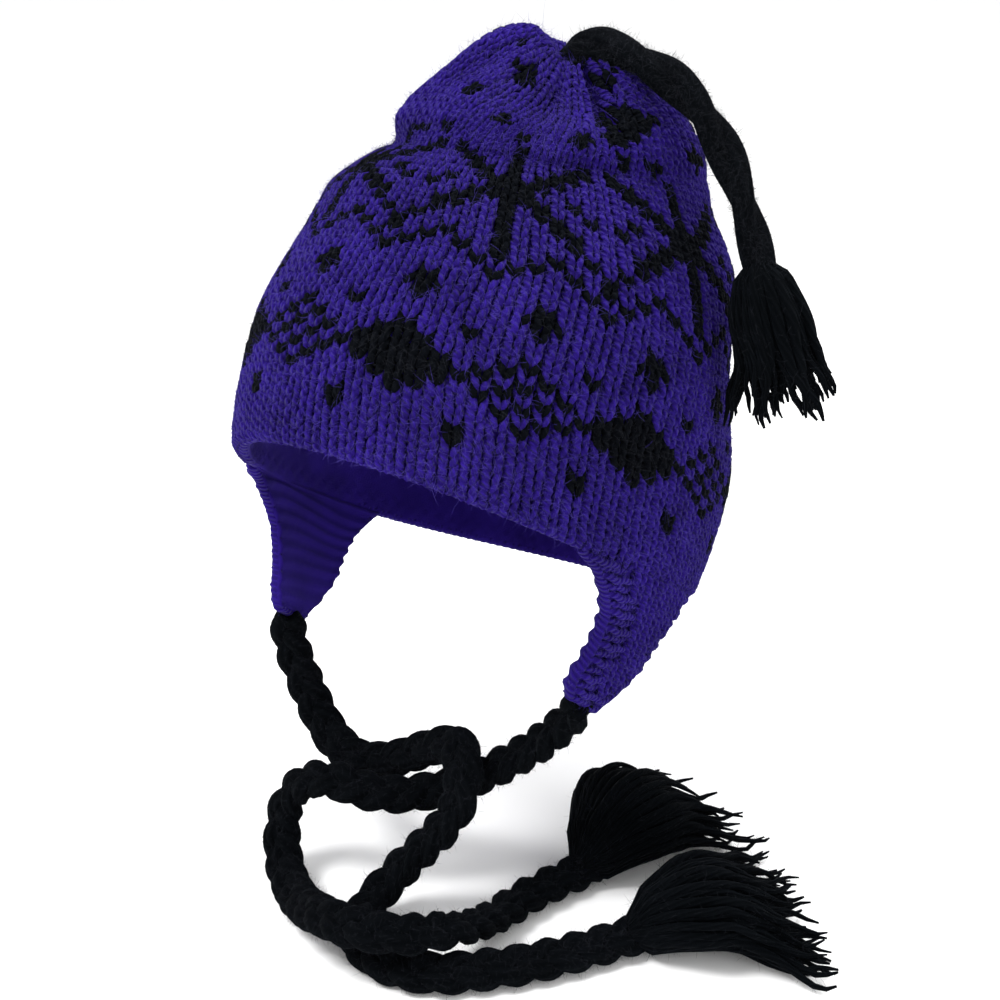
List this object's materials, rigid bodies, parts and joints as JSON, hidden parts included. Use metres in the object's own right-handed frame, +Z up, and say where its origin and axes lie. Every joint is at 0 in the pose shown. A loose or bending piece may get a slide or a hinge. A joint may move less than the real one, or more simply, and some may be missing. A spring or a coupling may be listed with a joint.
{
  "type": "earflap beanie",
  "caption": "Knitted two-colour earflap beanie with a gathered crown, a tasselled top cord and braided chin ties held in a half knot.",
  "frame": {"origin": "middle of the head opening, on the axis of the head that the hat is worn on", "axes": "+Z up, -Y the way the brow faces, +X the wearer's left; the head's axis leans back 12 degrees from +Z"},
  "size_m": [0.2195, 0.2068, 0.2864],
  "materials": {
    "purple_wool": "knitted purple wool yarn, matt with a soft halo of fibres",
    "black_wool": "black wool yarn, knitted in, twisted and braided, matt and slightly fuzzy"
  },
  "bodies": {
    "root": {"crown": "purple_wool", "earflap_left": "purple_wool", "earflap_right": "purple_wool", "top_cord": "black_wool", "top_tassel": "black_wool", "tie_left": "black_wool", "tie_right": "black_wool", "tie_left_tassel": "black_wool", "tie_right_tassel": "black_wool"}
  },
  "joints": []
}
